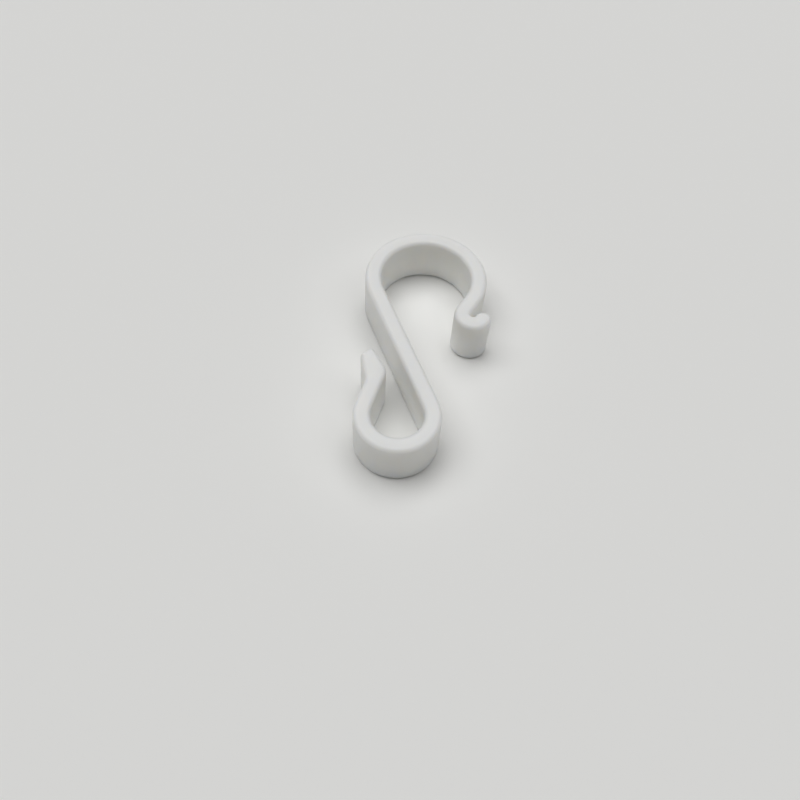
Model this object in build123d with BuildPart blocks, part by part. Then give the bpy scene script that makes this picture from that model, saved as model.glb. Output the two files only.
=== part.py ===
from build123d import *
import os
from math import asin, degrees

# Hook that hangs a string of lights from a gutter. It is one moulded plastic strip that
# runs in a flat S: a lip, a small loop, a straight stem, a large loop and a curl. Here it
# lies on its side, with the strip's width standing up along Z, the large loop towards +Y
# and the curl towards +X. Lengths are in millimetres and angles in degrees.

# Strip that the whole hook follows. Its upper edges and the lip's end are rounded, and the
# edges of the face that it lies on are bevelled.
strip_thickness = 3.2
strip_width = 10.0
edge_radius = 0.8
underside_bevel = 0.6

# Small loop, which holds the lead of the lights
small_bore_radius = 4.8

# Large loop, which clips over the rolled lip of the gutter, and how far off it stands
large_bore_radius = 9.0
loop_spacing = 33.3

# End of the large loop: where its arc ends, the short straight run that follows, and the
# curl that turns the other way and leads the loop onto the gutter
large_end_angle = -23.7
link_length = 2.9
curl_bore_radius = 0.5
curl_sweep = 185.7

# Free end of the small loop: a straight side that leans in to narrow the mouth, then a
# bend and a lip that flares out to lead the wire in. The lip is stoutest at the bend and
# thins towards its end, which is cut a little askew.
side_lean = 9.0
side_mouth_length = 8.4
side_back_length = 5.0
lip_turn = 47.0
lip_length = 6.2
lip_end_thickness = 2.9
lip_end_lean = 12.0
bend_mouth_radius = 3.0
bend_back_radius = 3.0

# The stem touches the right of the small loop and the left of the large one, so its lean
# follows from the two loops
half_turn = 180.0
small_middle_radius = small_bore_radius + strip_thickness / 2
large_middle_radius = large_bore_radius + strip_thickness / 2
curl_middle_radius = curl_bore_radius + strip_thickness / 2
stem_lean = degrees(asin((small_middle_radius + large_middle_radius) / loop_spacing))

# Centres of the three arcs
small_centre = Vector(0, 0)
large_centre = Vector(0, loop_spacing)
loop_to_curl = Vector(large_middle_radius + curl_middle_radius, -link_length)
curl_centre = large_centre + loop_to_curl.rotate(Axis.Z, large_end_angle)

# Each arc runs from the lip's end of the strip towards the curl
small_start_angle = half_turn - side_lean
small_sweep = half_turn + side_lean + stem_lean
large_start_angle = half_turn + stem_lean
large_sweep = large_end_angle - large_start_angle
curl_start_angle = half_turn + large_end_angle

# Ways that the side, the lip's mouth and the lip's end run
side_heading = half_turn / 2 - side_lean
lip_heading = side_heading + lip_turn
lip_end_heading = lip_heading + half_turn / 2 + lip_end_lean

with BuildSketch() as strip_outline:
    with BuildLine():
        small_inside = CenterArc(small_centre, small_bore_radius, small_start_angle, small_sweep)
        small_outside = CenterArc(
            small_centre, small_bore_radius + strip_thickness, small_start_angle, small_sweep
        )
        large_inside = CenterArc(large_centre, large_bore_radius, large_start_angle, large_sweep)
        large_outside = CenterArc(
            large_centre, large_bore_radius + strip_thickness, large_start_angle, large_sweep
        )
        curl_inside = CenterArc(curl_centre, curl_bore_radius, curl_start_angle, curl_sweep)
        curl_outside = CenterArc(
            curl_centre, curl_bore_radius + strip_thickness, curl_start_angle, curl_sweep
        )
        # Stem and link: the strip changes sides, so each runs from an inside to an outside
        Line(small_inside @ 1, large_outside @ 0)
        Line(small_outside @ 1, large_inside @ 0)
        Line(large_outside @ 1, curl_inside @ 0)
        Line(large_inside @ 1, curl_outside @ 0)
        # Full round tip of the curl
        TangentArc(curl_inside @ 1, curl_outside @ 1, tangent=curl_inside % 1)
        # Straight side, and the lip with its end
        side_mouth = PolarLine(small_inside @ 0, side_mouth_length, side_heading)
        side_back = PolarLine(small_outside @ 0, side_back_length, side_heading)
        lip_mouth = PolarLine(side_mouth @ 1, lip_length, lip_heading)
        lip_end = PolarLine(lip_mouth @ 1, lip_end_thickness, lip_end_heading)
        Line(side_back @ 1, lip_end @ 1)
    make_face()
    mouth_corner = strip_outline.vertices().sort_by_distance(side_mouth @ 1)[0]
    fillet(mouth_corner, radius=bend_mouth_radius)
    back_corner = strip_outline.vertices().sort_by_distance(side_back @ 1)[0]
    fillet(back_corner, radius=bend_back_radius)

# The part's origin is on the floor, under the middle of the outline
outline_middle = strip_outline.sketch.bounding_box().center()

with BuildPart() as hook_body:
    with BuildSketch(Plane(-outline_middle)):
        add(strip_outline.sketch)
    extrude(amount=strip_width)
    upper_edges = hook_body.faces().sort_by(Axis.Z)[-1].edges()
    upright_edges = hook_body.edges().filter_by(Axis.Z)
    lip_end_middle = (lip_end @ 0 + lip_end @ 1) / 2
    lip_end_edges = upright_edges.sort_by_distance(lip_end_middle - outline_middle)[:2]
    fillet(upper_edges + lip_end_edges, radius=edge_radius)
    underside_edges = hook_body.faces().sort_by(Axis.Z)[0].edges()
    chamfer(underside_edges, length=underside_bevel)

hook_body.part.label = "hook_body"

os.makedirs("parts", exist_ok=True)
export_step(hook_body.part, "parts/hook_body.step")
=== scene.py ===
"""Dresses a gutter light hook as satin white plastic and sets it on a pale floor."""

import logging
import math
from dataclasses import dataclass, field
from typing import Any

import bmesh
import bpy
from mathutils import Matrix, Vector

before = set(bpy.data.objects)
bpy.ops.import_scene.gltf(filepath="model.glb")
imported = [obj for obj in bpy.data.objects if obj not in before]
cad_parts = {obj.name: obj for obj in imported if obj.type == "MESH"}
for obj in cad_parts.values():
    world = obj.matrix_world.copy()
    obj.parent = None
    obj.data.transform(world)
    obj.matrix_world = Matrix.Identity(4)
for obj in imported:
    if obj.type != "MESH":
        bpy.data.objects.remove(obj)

LOG = logging.getLogger("gutter_light_hook")
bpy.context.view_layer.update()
MILLIMETRE = 0.001
MATRIX_SIZE = 4

# Hex colours, and the sRGB curve: straight for dark levels and a power above them
HEX_BASE = 16
COLOUR_LEVELS = 255.0
CURVE_START, CURVE_SLOPE = 0.04045, 12.92
CURVE_OFFSET, CURVE_POWER = 0.055, 2.4

# Sockets of the colour mix, which share their names with other kinds of mix
MIX_FIRST, MIX_SECOND, MIX_RESULT = 6, 7, 2

Triple = tuple[float, float, float]
Colour = tuple[float, float, float, float]


def linear(hex_code: str) -> Colour:
    """Turns an sRGB hex colour to linear light.

    Args:
        hex_code: Six hex digits after a hash sign.

    Returns:
        Red, green, blue and an alpha of one.
    """
    shares = [int(hex_code[i:i + 2], HEX_BASE) / COLOUR_LEVELS for i in (1, 3, 5)]
    red, green, blue = (
        share / CURVE_SLOPE
        if share <= CURVE_START
        else ((share + CURVE_OFFSET) / (1.0 + CURVE_OFFSET)) ** CURVE_POWER
        for share in shares
    )
    return (red, green, blue, 1.0)


def metres(lengths_mm: Triple) -> Vector:
    """Gives a place in metres from one in millimetres."""
    return Vector(lengths_mm) * MILLIMETRE


def per_metre(length_mm: float) -> float:
    """Gives the scale of a pattern that repeats about every length_mm."""
    return 1.0 / (length_mm * MILLIMETRE)


def turned(degrees: float, axis: str) -> Matrix:
    """Gives a turn about one of the axes X, Y and Z."""
    return Matrix.Rotation(math.radians(degrees), MATRIX_SIZE, axis)


def looking(place_mm: Triple, aim_mm: Triple) -> Matrix:
    """Places something that looks along its own -Z.

    Args:
        place_mm: Where it stands.
        aim_mm: What it looks at.

    Returns:
        Its world matrix.
    """
    place, aim = metres(place_mm), metres(aim_mm)
    turn = (aim - place).to_track_quat("-Z", "Y").to_matrix().to_4x4()
    return Matrix.Translation(place) @ turn


def add_node(
    tree: bpy.types.NodeTree,
    kind: str,
    settings: dict[str, Any] | None = None,
    values: dict[str | int, Any] | None = None,
    links: dict[str | int, bpy.types.NodeSocket] | None = None,
) -> bpy.types.Node:
    """Adds a node with its settings, socket values and incoming links.

    Args:
        tree: Node tree that takes the node.
        kind: Blender's name for the node's type.
        settings: Properties of the node itself.
        values: Values of its input sockets, by name or number.
        links: Output sockets that feed its input sockets, by name or number.

    Returns:
        The new node.
    """
    node = tree.nodes.new(kind)
    for name, value in (settings or {}).items():
        setattr(node, name, value)
    for socket, value in (values or {}).items():
        node.inputs[socket].default_value = value
    for socket, source in (links or {}).items():
        tree.links.new(source, node.inputs[socket])
    return node


def blank_material(name: str) -> bpy.types.Material:
    """Makes a material with an empty node tree.

    Args:
        name: The material's name.

    Returns:
        The material.
    """
    material = bpy.data.materials.new(name)
    material.use_nodes = True
    material.node_tree.nodes.clear()
    return material


@dataclass(frozen=True)
class MouldedPlastic:
    """Injection-moulded polypropylene, white, from a mould with a fine satin face.

    The eye sees an even white with a soft sheen. Light sinks in a few millimetres and
    leaves again, so edges look soft and shaded walls a little warm. Where light grazes
    it there is a very fine grain, and there are faint clouds where the melt flowed.
    """

    name: str = "polypropylene_moulded_white"
    colour: str = "#F1F1EF"
    cloud_colour: str = "#EDEDEA"
    ior: float = 1.49
    roughness: float = 0.48
    roughness_swing: float = 0.05
    scatter_weight: float = 1.0
    scatter_mm: float = 4.0
    scatter_shares: Triple = (1.0, 0.93, 0.82)
    cloud_mm: float = 6.0
    cloud_detail: float = 3.0
    # A mould's satin grain is nearer 0.05 mm, too fine to show, so it is drawn coarser
    grain_mm: float = 0.3
    grain_detail: float = 4.0
    grain_strength: float = 1.0
    grain_depth_mm: float = 0.006

    def build(self) -> bpy.types.Material:
        """Makes the material.

        Returns:
            The plastic, on Object coordinates.
        """
        material = blank_material(self.name)
        tree = material.node_tree
        place = add_node(tree, "ShaderNodeTexCoord").outputs["Object"]
        clouds = add_node(
            tree, "ShaderNodeTexNoise",
            values={"Scale": per_metre(self.cloud_mm), "Detail": self.cloud_detail},
            links={"Vector": place},
        )
        tint = add_node(
            tree, "ShaderNodeMix",
            settings={"data_type": "RGBA"},
            values={
                MIX_FIRST: linear(self.colour),
                MIX_SECOND: linear(self.cloud_colour),
            },
            links={"Factor": clouds.outputs["Fac"]},
        )
        grain = add_node(
            tree, "ShaderNodeTexNoise",
            values={"Scale": per_metre(self.grain_mm), "Detail": self.grain_detail},
            links={"Vector": place},
        )
        sheen = add_node(
            tree, "ShaderNodeMapRange",
            values={
                "To Min": self.roughness - self.roughness_swing,
                "To Max": self.roughness + self.roughness_swing,
            },
            links={"Value": grain.outputs["Fac"]},
        )
        relief = add_node(
            tree, "ShaderNodeBump",
            values={
                "Strength": self.grain_strength,
                "Distance": self.grain_depth_mm * MILLIMETRE,
            },
            links={"Height": grain.outputs["Fac"]},
        )
        surface = add_node(
            tree, "ShaderNodeBsdfPrincipled",
            values={
                "IOR": self.ior,
                "Subsurface Weight": self.scatter_weight,
                "Subsurface Radius": self.scatter_shares,
                "Subsurface Scale": self.scatter_mm * MILLIMETRE,
            },
            links={
                "Base Color": tint.outputs[MIX_RESULT],
                "Roughness": sheen.outputs["Result"],
                "Normal": relief.outputs["Normal"],
            },
        )
        add_node(
            tree, "ShaderNodeOutputMaterial", links={"Surface": surface.outputs["BSDF"]}
        )
        return material


@dataclass(frozen=True)
class PaperFloor:
    """Plain pale card, matt, as a backdrop roll has."""

    name: str = "card_matt_pale"
    colour: str = "#F2F2F0"
    roughness: float = 0.9

    def build(self) -> bpy.types.Material:
        """Makes the material.

        Returns:
            The card.
        """
        material = blank_material(self.name)
        tree = material.node_tree
        surface = add_node(
            tree, "ShaderNodeBsdfPrincipled",
            values={"Base Color": linear(self.colour), "Roughness": self.roughness},
        )
        add_node(
            tree, "ShaderNodeOutputMaterial", links={"Surface": surface.outputs["BSDF"]}
        )
        return material


@dataclass
class HookBody:
    """The bent strip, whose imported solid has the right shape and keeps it."""

    node: str = "hook_body"
    finish: MouldedPlastic = field(default_factory=MouldedPlastic)

    def dress(self) -> None:
        """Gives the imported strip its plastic."""
        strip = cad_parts[self.node]
        plastic = self.finish.build()
        for place in strip.material_slots:
            place.material = plastic
        LOG.info("%s: %s", self.node, plastic.name)


@dataclass
class Floor:
    """The pale surface that the hook lies on."""

    side_mm: float = 4000.0
    finish: PaperFloor = field(default_factory=PaperFloor)

    def build(self) -> None:
        """Makes the floor under the hook."""
        mesh = bpy.data.meshes.new("floor")
        shape = bmesh.new()
        bmesh.ops.create_grid(
            shape, x_segments=1, y_segments=1, size=self.side_mm * MILLIMETRE / 2.0
        )
        shape.to_mesh(mesh)
        shape.free()
        mesh.materials.append(self.finish.build())
        plane = bpy.data.objects.new("floor", mesh)
        bpy.context.scene.collection.objects.link(plane)
        LOG.info("floor: %s", mesh.materials[0].name)


@dataclass
class SoftLight:
    """One large soft light, so far off that it lights the whole floor alike.

    It leans from overhead by tilt_degrees, towards turn_degrees about Z from +X.
    """

    name: str
    tilt_degrees: float
    turn_degrees: float
    strength: float
    spread_degrees: float = 40.0

    def build(self) -> None:
        """Hangs the light."""
        lamp = bpy.data.lights.new(self.name, "SUN")
        lamp.angle = math.radians(self.spread_degrees)
        lamp.energy = self.strength
        light = bpy.data.objects.new(self.name, lamp)
        bpy.context.scene.collection.objects.link(light)
        tilt = turned(self.tilt_degrees, "Y")
        light.matrix_world = turned(self.turn_degrees, "Z") @ tilt


@dataclass
class Studio:
    """Soft lights, the pale backdrop and the colour settings.

    The lights stay below full level, at which the floor inside the large loop clips.
    """

    backdrop_colour: str = "#D4D4D2"
    lights: tuple[SoftLight, ...] = (
        SoftLight("back_light", tilt_degrees=20.0, turn_degrees=90.0, strength=0.99),
        SoftLight("left_light", tilt_degrees=25.0, turn_degrees=180.0, strength=1.06),
        SoftLight("right_light", tilt_degrees=30.0, turn_degrees=0.0, strength=0.47),
    )

    def build(self) -> None:
        """Sets the colours, the backdrop and the lights."""
        scene = bpy.context.scene
        scene.view_settings.view_transform = "Standard"
        scene.world = self.backdrop()
        for light in self.lights:
            light.build()
        LOG.info("studio: %d soft lights", len(self.lights))

    def backdrop(self) -> bpy.types.World:
        """Makes a backdrop that is seen and mirrored but lights nothing.

        Returns:
            The world.
        """
        world = bpy.data.worlds.new("backdrop")
        world.use_nodes = True
        tree = world.node_tree
        tree.nodes.clear()
        path = add_node(tree, "ShaderNodeLightPath").outputs
        mirrored = add_node(
            tree, "ShaderNodeMath",
            settings={"operation": "MAXIMUM"},
            links={0: path["Is Glossy Ray"], 1: path["Is Transmission Ray"]},
        )
        seen = add_node(
            tree, "ShaderNodeMath",
            settings={"operation": "MAXIMUM"},
            links={0: path["Is Camera Ray"], 1: mirrored.outputs["Value"]},
        )
        glow = add_node(
            tree, "ShaderNodeBackground",
            values={"Color": linear(self.backdrop_colour)},
            links={"Strength": seen.outputs["Value"]},
        )
        add_node(
            tree, "ShaderNodeOutputWorld", links={"Surface": glow.outputs["Background"]}
        )
        return world


@dataclass
class PhotoCamera:
    """Camera at the photograph's place, beyond the small loop and high above it."""

    place_mm: Triple = (7.9, -95.18, 128.94)
    aim_mm: Triple = (-1.73, -9.29, 0.0)
    roll_degrees: float = 4.21
    lens_mm: float = 36.0
    sensor_mm: float = 36.0
    nearest_mm: float = 5.0

    def build(self) -> None:
        """Sets the camera up as the scene's own."""
        lens = bpy.data.cameras.new("photo_camera")
        lens.sensor_fit = "HORIZONTAL"
        lens.sensor_width = self.sensor_mm
        lens.lens = self.lens_mm
        lens.clip_start = self.nearest_mm * MILLIMETRE
        camera = bpy.data.objects.new("photo_camera", lens)
        bpy.context.scene.collection.objects.link(camera)
        roll = turned(self.roll_degrees, "Z")
        camera.matrix_world = looking(self.place_mm, self.aim_mm) @ roll
        bpy.context.scene.camera = camera
        LOG.info("camera: %.0f mm lens", self.lens_mm)


def main() -> None:
    """Dresses the hook and sets the scene."""
    logging.basicConfig(level=logging.INFO, format="%(name)s %(message)s")
    HookBody().dress()
    Floor().build()
    Studio().build()
    PhotoCamera().build()


if __name__ == "__main__":
    main()
